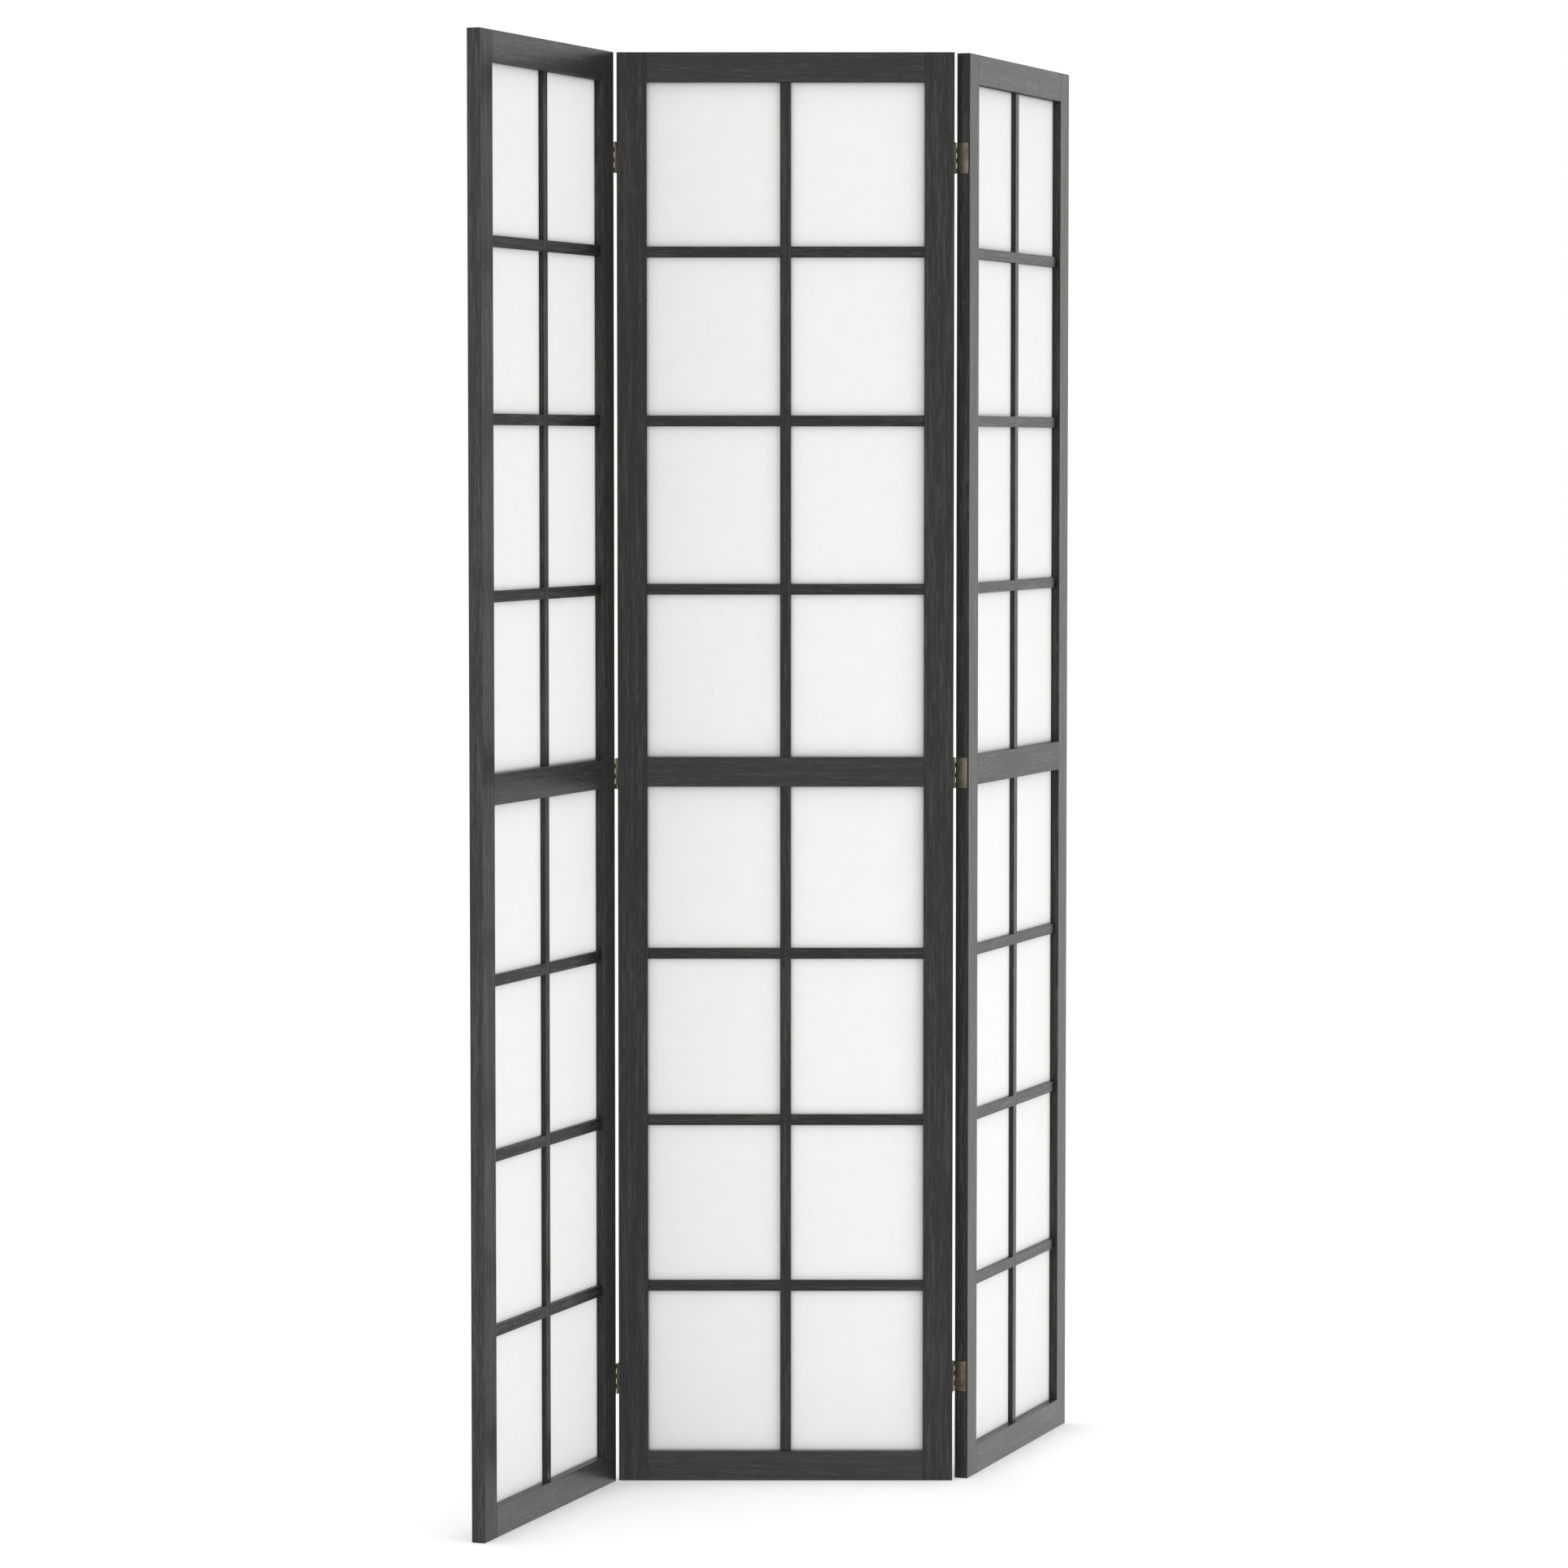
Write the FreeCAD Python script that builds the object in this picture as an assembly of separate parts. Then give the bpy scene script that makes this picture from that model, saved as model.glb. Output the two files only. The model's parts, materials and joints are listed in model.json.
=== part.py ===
import FreeCAD, Part
import os

# A three-panel folding screen in wood and paper, stood in a zigzag.
#
# Frame of the model, in millimetres: the origin is on the floor, under the middle of the centre
# panel. +Z is up, +X runs along the centre panel to the right, and -Y faces the front. Each panel
# is built flat in that frame, about its own middle, and the side panels are then moved out by one
# panel pitch and turned about their hinge axes.

# --- driving dimensions ---------------------------------------------------------------------

# Frame of one panel
PANEL_HEIGHT = 1790.0
PANEL_WIDTH = 420.0
PANEL_THICKNESS = 17.0
STILE_WIDTH = 37.0
RAIL_HEIGHT = 37.0
FRAME_ROUND = 0.5            # eased arrises of stiles and rails

# Lattice: two layers of sticks with the paper between them
STICK_WIDTH = 13.6
STICK_THICKNESS = 5.9
STICK_ROUND = 0.4            # eased arrises of the face that shows
UPRIGHTS_PER_WINDOW = 1
CROSSBARS_PER_WINDOW = 3
BACK_RECESS = 0.3            # from the back of the frame to the back layer of sticks
SOCKET_DEPTH = 4.0           # how deep a stick's end goes into the frame
SOCKET_END_ROOM = 0.3        # left between a stick's end and the bottom of its socket
JOINERY_CLEARANCE = 0.05     # round a stick in its socket or its halving joint

# Paper
PAPER_THICKNESS = 0.3
PAPER_TUCK = 3.5             # width of paper held in the groove all round
GROOVE_CLEARANCE = 0.1       # beside the paper, and past its edge

# Dowels that join rails to stiles
DOWEL_DIAMETER = 6.0
DOWEL_LENGTH = 30.0
DOWEL_CLEARANCE = 0.05
DOWEL_END_ROOM = 0.5
DOWEL_CHAMFER = 0.6
DOWEL_EDGE_DISTANCE = 9.5    # from a rail's edge to the centre of the nearest dowel

# Butt hinges
HINGE_HEIGHT = 38.0
KNUCKLES_PER_HINGE = 6
KNUCKLE_GAP = 0.2            # between one knuckle and the next
LEAF_THICKNESS = 0.7
LEAF_MARGIN = 2.0            # from a leaf's free edge to the far face of the panel
BARREL_STANDOFF = 0.2        # between the barrel and the plane of the panel's face
PIN_DIAMETER = 1.5
PIN_CLEARANCE = 0.05
PIN_HEAD_HEIGHT = 0.4
PIN_HEAD_INSET = 0.3         # how far a pin's head stays inside the barrel's outline
HINGE_END_DISTANCE = 130.0   # from a panel's end to the middle of its end hinges
MIDDLE_HINGE_DROP = 2.0      # of the middle hinge below the panel's mid-height

# Countersunk wood screws of the hinge leaves
SCREWS_PER_LEAF = 3
SCREW_PITCH = 12.0
SCREW_INSET = 6.7            # from the face on the barrel's side to the row of screws
SCREW_LENGTH = 12.0
SCREW_SHANK_DIAMETER = 2.2
SCREW_HEAD_DIAMETER = 4.4
SCREW_TIP_LENGTH = 2.5
SCREW_TIP_DIAMETER = 0.4
SCREW_CLEARANCE = 0.05
CROSS_SLOT_WIDTH = 0.55
CROSS_SLOT_MARGIN = 0.9      # from the slot's end to the head's rim
CROSS_SLOT_DEPTH = 0.7

# Pose in which the screen stands
REST_FOLD = 70.0             # degrees that each side panel is turned out of line

# --- sizes that follow ------------------------------------------------------------------------

FRONT = -PANEL_THICKNESS / 2
BACK = PANEL_THICKNESS / 2
HALF_WIDTH = PANEL_WIDTH / 2
WINDOW_EDGE = HALF_WIDTH - STILE_WIDTH
WINDOW_WIDTH = 2 * WINDOW_EDGE
WINDOW_HEIGHT = (PANEL_HEIGHT - 3 * RAIL_HEIGHT) / 2
WINDOWS = {
    "lower": RAIL_HEIGHT,
    "upper": 2 * RAIL_HEIGHT + WINDOW_HEIGHT,
}
RAILS = {
    "bottom": 0.0,
    "middle": RAIL_HEIGHT + WINDOW_HEIGHT,
    "top": PANEL_HEIGHT - RAIL_HEIGHT,
}

PAPER_BACK = BACK - BACK_RECESS - STICK_THICKNESS
PAPER_FRONT = PAPER_BACK - PAPER_THICKNESS
# Each layer of sticks lies between the paper and the face that it shows.
LAYERS = {
    "front": (PAPER_FRONT, PAPER_FRONT - STICK_THICKNESS),
    "back": (PAPER_BACK, PAPER_BACK + STICK_THICKNESS),
}

PIN_RADIUS = PIN_DIAMETER / 2
BORE_RADIUS = PIN_RADIUS + PIN_CLEARANCE
# A leaf is one strip, rolled round the pin, so the barrel's wall is as thick as the leaf.
BARREL_RADIUS = BORE_RADIUS + LEAF_THICKNESS
# The strip leaves the barrel as a tangent and lies on the panel's edge.
PANEL_GAP = 2 * BARREL_RADIUS
AXIS_OFFSET = BARREL_RADIUS + BARREL_STANDOFF
PANEL_PITCH = PANEL_WIDTH + PANEL_GAP
KNUCKLE_PITCH = HINGE_HEIGHT / KNUCKLES_PER_HINGE
HINGES = {
    "top": PANEL_HEIGHT - HINGE_END_DISTANCE,
    "middle": PANEL_HEIGHT / 2 - MIDDLE_HINGE_DROP,
    "bottom": HINGE_END_DISTANCE,
}

SCREW_SHANK_RADIUS = SCREW_SHANK_DIAMETER / 2
SCREW_HEAD_RADIUS = SCREW_HEAD_DIAMETER / 2
# A countersunk head of 90 degrees is as high as it is wider than the shank.
SCREW_HEAD_HEIGHT = SCREW_HEAD_RADIUS - SCREW_SHANK_RADIUS

UP = FreeCAD.Vector(0, 0, 1)


# --- helpers ------------------------------------------------------------------------------------

def block(x_span, y_span, z_span):
    """A box between two values on each axis, given in any order."""
    low = [min(span) for span in (x_span, y_span, z_span)]
    high = [max(span) for span in (x_span, y_span, z_span)]
    size = [top - bottom for bottom, top in zip(low, high)]
    return Part.makeBox(size[0], size[1], size[2], FreeCAD.Vector(low[0], low[1], low[2]))


def grown(span, room):
    """A span made longer by the same room at both ends."""
    return (min(span) - room, max(span) + room)


def about(middle, size):
    """A span of a given size about its middle."""
    return (middle - size / 2, middle + size / 2)


def runs_along(edge, axis):
    """Whether a straight edge runs along the X, Y or Z axis, numbered 0 to 2."""
    start = edge.Vertexes[0].Point
    end = edge.Vertexes[-1].Point
    return abs(end[axis] - start[axis]) > 0.5 * (end - start).Length


def lies_at(edge, axis, value):
    """Whether both ends of an edge lie at a value on an axis."""
    return all(abs(vertex.Point[axis] - value) < 1e-6 for vertex in edge.Vertexes)


def eased(shape, radius, edges):
    """The shape with some of its edges rounded."""
    return shape.makeFillet(radius, edges)


def without(shape, cutters):
    """The shape less all the cutters."""
    if not cutters:
        return shape
    return shape.cut(Part.makeCompound(cutters))


def evenly(start, length, count):
    """Places that divide a length into count + 1 equal parts."""
    return [start + length * (number + 1) / (count + 1) for number in range(count)]


def screw_heights(hinge_height):
    """Heights of the screws of one leaf."""
    first = hinge_height - SCREW_PITCH * (SCREWS_PER_LEAF - 1) / 2
    return [first + SCREW_PITCH * number for number in range(SCREWS_PER_LEAF)]


# --- the frame of a panel -----------------------------------------------------------------------

def window_groove(start_x, end_x, start_z, end_z):
    """The narrow groove that holds an edge of the paper."""
    return block((start_x, end_x), grown((PAPER_FRONT, PAPER_BACK), GROOVE_CLEARANCE), (start_z, end_z))


def dowel_heights(rail_base):
    """Heights of the two dowels at each end of a rail."""
    return (rail_base + DOWEL_EDGE_DISTANCE, rail_base + RAIL_HEIGHT - DOWEL_EDGE_DISTANCE)


def dowel_holes(side):
    """The holes at one end of all three rails, half in the rail and half in the stile."""
    length = DOWEL_LENGTH + 2 * DOWEL_END_ROOM
    start_x = side * WINDOW_EDGE - length / 2
    holes = []
    for rail_base in RAILS.values():
        for height in dowel_heights(rail_base):
            start = FreeCAD.Vector(start_x, 0, height)
            hole = Part.makeCylinder(DOWEL_DIAMETER / 2 + DOWEL_CLEARANCE, length, start, FreeCAD.Vector(1, 0, 0))
            holes.append(hole)
    return holes


def stile(side, barrel):
    """An upright of the frame, at the left (side -1) or right (side +1).

    barrel is the face that the hinge barrels stand at, -1 front, +1 back or None for no hinge.
    """
    outline = block((side * HALF_WIDTH, side * WINDOW_EDGE), (FRONT, BACK), (0, PANEL_HEIGHT))
    body = eased(outline, FRAME_ROUND, outline.Edges)
    cutters = dowel_holes(side)
    groove_bottom = side * (WINDOW_EDGE + PAPER_TUCK + GROOVE_CLEARANCE)
    socket_bottom = side * (WINDOW_EDGE + SOCKET_DEPTH)
    for base in WINDOWS.values():
        low, high = grown((base, base + WINDOW_HEIGHT), PAPER_TUCK + GROOVE_CLEARANCE)
        cutters.append(window_groove(side * WINDOW_EDGE, groove_bottom, low, high))
        for height in evenly(base, WINDOW_HEIGHT, CROSSBARS_PER_WINDOW):
            width = grown(about(height, STICK_WIDTH), JOINERY_CLEARANCE)
            for layer in LAYERS.values():
                depth = grown(layer, JOINERY_CLEARANCE)
                cutters.append(block((side * WINDOW_EDGE, socket_bottom), depth, width))
    if barrel is not None:
        cutters += screw_cutters(side, barrel)
    return [without(body, cutters)]


def rail(name):
    """A cross member of the frame, between the stiles."""
    base = RAILS[name]
    top = base + RAIL_HEIGHT
    outline = block((-WINDOW_EDGE, WINDOW_EDGE), (FRONT, BACK), (base, top))
    long_edges = [edge for edge in outline.Edges if runs_along(edge, 0)]
    body = eased(outline, FRAME_ROUND, long_edges)
    cutters = dowel_holes(-1) + dowel_holes(1)
    edges_at_windows = []
    if name != "bottom":
        edges_at_windows.append((base, 1))
    if name != "top":
        edges_at_windows.append((top, -1))
    for edge, inward in edges_at_windows:
        groove_bottom = edge + inward * (PAPER_TUCK + GROOVE_CLEARANCE)
        cutters.append(window_groove(-WINDOW_EDGE, WINDOW_EDGE, edge, groove_bottom))
        for x in evenly(-WINDOW_EDGE, WINDOW_WIDTH, UPRIGHTS_PER_WINDOW):
            width = grown(about(x, STICK_WIDTH), JOINERY_CLEARANCE)
            for layer in LAYERS.values():
                depth = grown(layer, JOINERY_CLEARANCE)
                cutters.append(block(width, depth, (edge, edge + inward * SOCKET_DEPTH)))
    return [without(body, cutters)]


def dowels():
    """The dowels at both ends of the three rails."""
    pieces = []
    for side in (-1, 1):
        for rail_base in RAILS.values():
            for height in dowel_heights(rail_base):
                start = FreeCAD.Vector(side * WINDOW_EDGE - DOWEL_LENGTH / 2, 0, height)
                pin = Part.makeCylinder(DOWEL_DIAMETER / 2, DOWEL_LENGTH, start, FreeCAD.Vector(1, 0, 0))
                rims = [edge for edge in pin.Edges if edge.Closed]
                pieces.append(pin.makeChamfer(DOWEL_CHAMFER, rims))
    return pieces


# --- lattice and paper -------------------------------------------------------------------------

def stick(x_span, z_span, layer, axis):
    """A plain lattice stick along X (axis 0) or Z (axis 2), with the arrises that show eased."""
    outline = block(x_span, layer, z_span)
    arrises = [edge for edge in outline.Edges if runs_along(edge, axis) and lies_at(edge, 1, layer[1])]
    return eased(outline, STICK_ROUND, arrises)


def lattice(window, layer_name):
    """One layer of sticks in one window, halved together where they cross.

    The uprights keep the half of their thickness that shows, so they pass over the crossbars.
    """
    base = WINDOWS[window]
    layer = LAYERS[layer_name]
    at_paper, at_face = layer
    lap = (at_paper + at_face) / 2
    reach = SOCKET_DEPTH - SOCKET_END_ROOM
    upright_places = evenly(-WINDOW_EDGE, WINDOW_WIDTH, UPRIGHTS_PER_WINDOW)
    crossbar_places = evenly(base, WINDOW_HEIGHT, CROSSBARS_PER_WINDOW)
    pieces = []
    for x in upright_places:
        upright = stick(about(x, STICK_WIDTH), grown((base, base + WINDOW_HEIGHT), reach), layer, 2)
        notches = []
        for z in crossbar_places:
            width = grown(about(z, STICK_WIDTH), JOINERY_CLEARANCE)
            notches.append(block(about(x, 2 * STICK_WIDTH), (at_paper, lap), width))
        pieces.append(without(upright, notches))
    for z in crossbar_places:
        crossbar = stick(grown((-WINDOW_EDGE, WINDOW_EDGE), reach), about(z, STICK_WIDTH), layer, 0)
        notches = []
        for x in upright_places:
            width = grown(about(x, STICK_WIDTH), JOINERY_CLEARANCE)
            notches.append(block(width, (lap, at_face), about(z, 2 * STICK_WIDTH)))
        pieces.append(without(crossbar, notches))
    return pieces


def paper(window):
    """The sheet between the two layers of one window, with its edges in the grooves."""
    base = WINDOWS[window]
    x_span = grown((-WINDOW_EDGE, WINDOW_EDGE), PAPER_TUCK)
    z_span = grown((base, base + WINDOW_HEIGHT), PAPER_TUCK)
    return [block(x_span, (PAPER_FRONT, PAPER_BACK), z_span)]


# --- hinges and screws -------------------------------------------------------------------------

def axis_point(side, barrel):
    """Where the hinge axis of a panel's edge meets the floor."""
    return FreeCAD.Vector(side * (HALF_WIDTH + PANEL_GAP / 2), barrel * (BACK + AXIS_OFFSET), 0)


def screw_row(side, barrel):
    """Centres of all the screw heads of a panel's edge, on the open faces of the leaves."""
    x = side * (HALF_WIDTH + LEAF_THICKNESS)
    y = barrel * (BACK - SCREW_INSET)
    return [FreeCAD.Vector(x, y, z) for middle in HINGES.values() for z in screw_heights(middle)]


def screw_body(head, side, room, extra_length):
    """A screw's outside, from the centre of its head into the panel's edge, made larger by room."""
    inward = FreeCAD.Vector(-side, 0, 0)
    length = SCREW_LENGTH + extra_length
    shank_length = length - SCREW_TIP_LENGTH
    cone = Part.makeCone(SCREW_HEAD_RADIUS + room, SCREW_SHANK_RADIUS + room, SCREW_HEAD_HEIGHT, head, inward)
    shank = Part.makeCylinder(SCREW_SHANK_RADIUS + room, shank_length, head, inward)
    tip_start = head + inward * shank_length
    tip_radius = SCREW_TIP_DIAMETER / 2 + room
    tip = Part.makeCone(SCREW_SHANK_RADIUS + room, tip_radius, SCREW_TIP_LENGTH, tip_start, inward)
    return cone.fuse([shank, tip]).removeSplitter()


def screw_cutters(side, barrel):
    """Countersinks and pilot holes for a panel's edge and its leaves."""
    return [screw_body(head, side, SCREW_CLEARANCE, SCREW_CLEARANCE) for head in screw_row(side, barrel)]


def screws(side, barrel):
    """The screws of one panel edge, each with a cross slot."""
    slot_length = SCREW_HEAD_DIAMETER - 2 * CROSS_SLOT_MARGIN
    pieces = []
    for head in screw_row(side, barrel):
        depth = (head.x, head.x - side * CROSS_SLOT_DEPTH)
        across = block(depth, about(head.y, slot_length), about(head.z, CROSS_SLOT_WIDTH))
        upright = block(depth, about(head.y, CROSS_SLOT_WIDTH), about(head.z, slot_length))
        pieces.append(without(screw_body(head, side, 0, 0), [across, upright]))
    return pieces


def leaf(side, barrel, middle, first_knuckle):
    """A hinge leaf on a panel's edge, with every second knuckle from the top, 0 or 1 first."""
    axis = axis_point(side, barrel)
    low = middle - HINGE_HEIGHT / 2
    high = middle + HINGE_HEIGHT / 2
    strip_x = (side * HALF_WIDTH, side * (HALF_WIDTH + LEAF_THICKNESS))
    into_panel = -barrel
    strip_start = axis.y + into_panel * (BARREL_RADIUS + KNUCKLE_GAP)
    strip_end = into_panel * (BACK - LEAF_MARGIN)
    shape = block(strip_x, (strip_start, strip_end), (low, high))
    knuckles = []
    for number in range(first_knuckle, KNUCKLES_PER_HINGE, 2):
        top = high - number * KNUCKLE_PITCH
        bottom = top - KNUCKLE_PITCH
        # The leaf's own ends stay square. Inside, each knuckle gives way by half the gap.
        if number > 0:
            top -= KNUCKLE_GAP / 2
        if number < KNUCKLES_PER_HINGE - 1:
            bottom += KNUCKLE_GAP / 2
        start = FreeCAD.Vector(axis.x, axis.y, bottom)
        knuckles.append(Part.makeCylinder(BARREL_RADIUS, top - bottom, start, UP))
        knuckles.append(block(strip_x, (axis.y, strip_start), (bottom, top)))
    shape = shape.fuse(knuckles).removeSplitter()
    bore = Part.makeCylinder(BORE_RADIUS, HINGE_HEIGHT, FreeCAD.Vector(axis.x, axis.y, low), UP)
    return [without(shape, [bore] + screw_cutters(side, barrel))]


def pin(side, barrel, middle):
    """A hinge pin, headed over at both ends of the barrel."""
    axis = axis_point(side, barrel)
    length = HINGE_HEIGHT + 2 * PIN_HEAD_HEIGHT
    bottom = FreeCAD.Vector(axis.x, axis.y, middle - length / 2)
    rod = Part.makeCylinder(PIN_RADIUS, length, bottom, UP)
    head_radius = BARREL_RADIUS - PIN_HEAD_INSET
    lower_head = Part.makeCylinder(head_radius, PIN_HEAD_HEIGHT, bottom, UP)
    upper_start = bottom + UP * (length - PIN_HEAD_HEIGHT)
    upper_head = Part.makeCylinder(head_radius, PIN_HEAD_HEIGHT, upper_start, UP)
    return [rod.fuse([lower_head, upper_head]).removeSplitter()]


# --- panels --------------------------------------------------------------------------------------

def panel(stiles, hinge_barrels):
    """The wood and paper of one panel, about its own middle.

    stiles names the left and the right stile, and hinge_barrels gives, for a side that has
    hinges, the face that their barrels stand at.
    """
    nodes = {}
    for side, stile_name in zip((-1, 1), stiles):
        nodes[stile_name + "_stile"] = stile(side, hinge_barrels.get(side))
    for rail_name in RAILS:
        nodes[rail_name + "_rail"] = rail(rail_name)
    nodes["dowels"] = dowels()
    for window in WINDOWS:
        nodes[window + "_paper"] = paper(window)
        for layer_name in LAYERS:
            nodes[window + "_" + layer_name + "_lattice"] = lattice(window, layer_name)
    return nodes


def first_knuckle(hinge, centre_leaf):
    """The top knuckle belongs to the centre leaf, except on the bottom hinges, hung upside down."""
    upside_down = hinge == "bottom"
    if centre_leaf != upside_down:
        return 0
    return 1


def placed(pieces, side, axis):
    """The pieces of a side panel, moved out by one pitch and turned about the hinge axis."""
    moved = []
    for piece in pieces:
        copy = piece.copy()
        copy.translate(FreeCAD.Vector(side * PANEL_PITCH, 0, 0))
        copy.rotate(axis, UP, REST_FOLD)
        moved.append(copy)
    return moved


def screen():
    """Every node of the screen, by name, in the pose in which it stands."""
    nodes = {}
    # The left hinges have their barrels at the front and the right hinges at the back.
    hinge_lines = {"left": (-1, -1), "right": (1, 1)}
    centre = panel(("left", "right"), dict(hinge_lines.values()))
    for name, pieces in centre.items():
        nodes["centre_panel_" + name] = pieces
    for line, (side, barrel) in hinge_lines.items():
        axis = axis_point(side, barrel)
        stiles = ("outer", "hinge") if side < 0 else ("hinge", "outer")
        side_panel = panel(stiles, {-side: barrel})
        for name, pieces in side_panel.items():
            nodes[line + "_panel_" + name] = placed(pieces, side, axis)
        for hinge, middle in HINGES.items():
            prefix = line + "_" + hinge + "_hinge_"
            nodes[prefix + "centre_leaf"] = leaf(side, barrel, middle, first_knuckle(hinge, True))
            side_leaf = leaf(-side, barrel, middle, first_knuckle(hinge, False))
            nodes[prefix + "side_leaf"] = placed(side_leaf, side, axis)
            nodes[prefix + "pin"] = pin(side, barrel, middle)
        nodes[line + "_centre_leaf_screws"] = screws(side, barrel)
        nodes[line + "_side_leaf_screws"] = placed(screws(-side, barrel), side, axis)
    return nodes


def write(nodes):
    """One STEP file per node."""
    os.makedirs("parts", exist_ok=True)
    for name, pieces in nodes.items():
        shape = pieces[0] if len(pieces) == 1 else Part.makeCompound(pieces)
        shape.exportStep("parts/" + name + ".step")
        solids = len(shape.Solids)
        print(f"{name}: {solids} solid(s), {shape.Volume / 1000:.2f} cm3, valid {shape.isValid()}")
    whole = Part.makeCompound([piece for pieces in nodes.values() for piece in pieces]).BoundBox
    print(f"{len(nodes)} nodes, {whole.XLength:.1f} x {whole.YLength:.1f} x {whole.ZLength:.1f} mm")


write(screen())
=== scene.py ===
# %% [markdown]
# # A three-panel screen of charcoal-stained wood and white paper
#
# The screen stands in a zigzag: a centre panel, a left panel folded towards the viewer and a right
# panel folded away. Each panel is a wooden frame with two windows, and in each window a sheet of
# paper is held between two layers of thin sticks. Brass butt hinges join the panels.
#
# A CAD program has already drawn every solid part and where the joints are. This notebook loads
# those parts as a fixed frame and never moves them. What is left for Blender is what CAD is poor
# at: the sheets of paper, the finishes, the light and the camera.

# %% Load the parts and keep their box
import json
import math

import bmesh
import bpy
from mathutils import Matrix, Vector, noise


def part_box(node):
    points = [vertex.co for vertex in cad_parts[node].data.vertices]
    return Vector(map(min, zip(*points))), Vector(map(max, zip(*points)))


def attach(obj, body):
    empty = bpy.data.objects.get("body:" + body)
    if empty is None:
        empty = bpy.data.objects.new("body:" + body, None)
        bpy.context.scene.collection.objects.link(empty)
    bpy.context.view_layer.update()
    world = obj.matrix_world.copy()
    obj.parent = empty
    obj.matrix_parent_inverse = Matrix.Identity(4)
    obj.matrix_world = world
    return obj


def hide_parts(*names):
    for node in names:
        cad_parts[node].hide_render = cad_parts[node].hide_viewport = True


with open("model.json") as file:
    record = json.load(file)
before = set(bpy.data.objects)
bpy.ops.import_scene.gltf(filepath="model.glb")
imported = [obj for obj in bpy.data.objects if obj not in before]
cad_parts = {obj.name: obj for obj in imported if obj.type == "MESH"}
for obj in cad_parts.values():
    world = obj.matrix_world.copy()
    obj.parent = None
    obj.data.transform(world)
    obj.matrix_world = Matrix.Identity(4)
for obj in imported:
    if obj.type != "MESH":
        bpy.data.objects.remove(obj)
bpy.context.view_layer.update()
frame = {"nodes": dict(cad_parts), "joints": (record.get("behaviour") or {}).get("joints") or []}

# %% [markdown]
# ## The camera
#
# A camera can be placed by eye, but a tall straight-sided object gives away the smallest error in
# its converging lines. This one stands a long way back, with a long lens, a little above the
# middle of the screen and tipped down by a few degrees. The same view from nearby with a short
# lens would flare the front corner of the left panel much too far.

# %% Camera: far back with a long lens, tipped slightly down
CAMERA_PLACE = (-0.002, -6.8019, 1.2945)
CAMERA_TIP = math.radians(3.492)
LENS_MM = 124.88
SENSOR_MM = 36.0

lens = bpy.data.cameras.new("long_lens")
lens.lens = LENS_MM
lens.sensor_width = SENSOR_MM
camera = bpy.data.objects.new("camera", lens)
camera.location = CAMERA_PLACE
camera.rotation_euler = (math.radians(90) - CAMERA_TIP, 0, 0)
bpy.context.scene.collection.objects.link(camera)
bpy.context.scene.camera = camera
print("camera is", round(-CAMERA_PLACE[1], 2), "m in front of the centre panel")

# %% [markdown]
# ## Where each panel is
#
# All three panels are the same panel. The side ones have been moved out by one pitch and turned
# about their hinge axes. Everything that follows a board, such as its grain, is easiest to write
# for a panel that stands straight at the origin. So each panel gets one matrix that leads from
# that upright place to where it rests. The joints say where the axes are and how far they turn.

# %% Rest placement of the three panels
PANELS = ("centre", "left", "right")


def rest_placement(panel):
    """The matrix from a panel that stands straight at the origin to where it rests."""
    for joint in frame["joints"]:
        if joint["child"] == panel + "_panel":
            axis = Vector(joint["pos_m"])
            axis.z = 0
            fold = math.radians(-joint["range_deg"][0])
            pitch = Vector((2 * axis.x, 0, 0))
            turn = Matrix.Rotation(fold, 4, "Z")
            return Matrix.Translation(axis) @ turn @ Matrix.Translation(pitch - axis)
    return Matrix.Identity(4)


placements = {panel: rest_placement(panel) for panel in PANELS}
for panel, place in placements.items():
    print(panel, "is turned by", round(math.degrees(place.to_euler().z), 1), "degrees")

# %% [markdown]
# ## Small helpers for node materials
#
# Each node in a material takes a line to add, a line for every setting and a line for every link.
# These helpers put a node in with its settings and inputs at once, and give back the socket that
# the next node needs. The names of the inputs are those that the shader editor shows.

# %% Helpers: nodes, sums and mixes
def put(tree, kind, settings=(), **inputs):
    """A new node, with its settings and what goes into its inputs: values or sockets."""
    node = tree.nodes.new("ShaderNode" + kind)
    for name, value in dict(settings).items():
        setattr(node, name, value)
    for name, value in inputs.items():
        feed(tree, node.inputs[name.replace("_", " ")], value)
    return node


def feed(tree, socket, value):
    """Links a socket to an input, or sets the input's value."""
    if isinstance(value, bpy.types.NodeSocket):
        tree.links.new(value, socket)
    else:
        socket.default_value = value


def calc(tree, operation, *values):
    """The result of a Math node."""
    node = put(tree, "Math", {"operation": operation})
    for socket, value in zip(node.inputs, values):
        feed(tree, socket, value)
    return node.outputs[0]


def product(tree, *values):
    """All the values multiplied together."""
    result = values[0]
    for value in values[1:]:
        result = calc(tree, "MULTIPLY", result, value)
    return result


def weighed(tree, first, second, share):
    """A sum of two values: this share of the first and the rest of the second."""
    return calc(tree, "ADD", product(tree, first, share), product(tree, second, 1 - share))


def moved(tree, vector, by):
    """The sum of two vectors."""
    node = put(tree, "VectorMath", {"operation": "ADD"})
    feed(tree, node.inputs[0], vector)
    feed(tree, node.inputs[1], by)
    return node.outputs["Vector"]


def agreement(tree, first, second):
    """How far two directions agree: 1 where they are the same, 0 where they are square."""
    node = put(tree, "VectorMath", {"operation": "DOT_PRODUCT"})
    feed(tree, node.inputs[0], first)
    feed(tree, node.inputs[1], second)
    return node.outputs["Value"]


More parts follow.
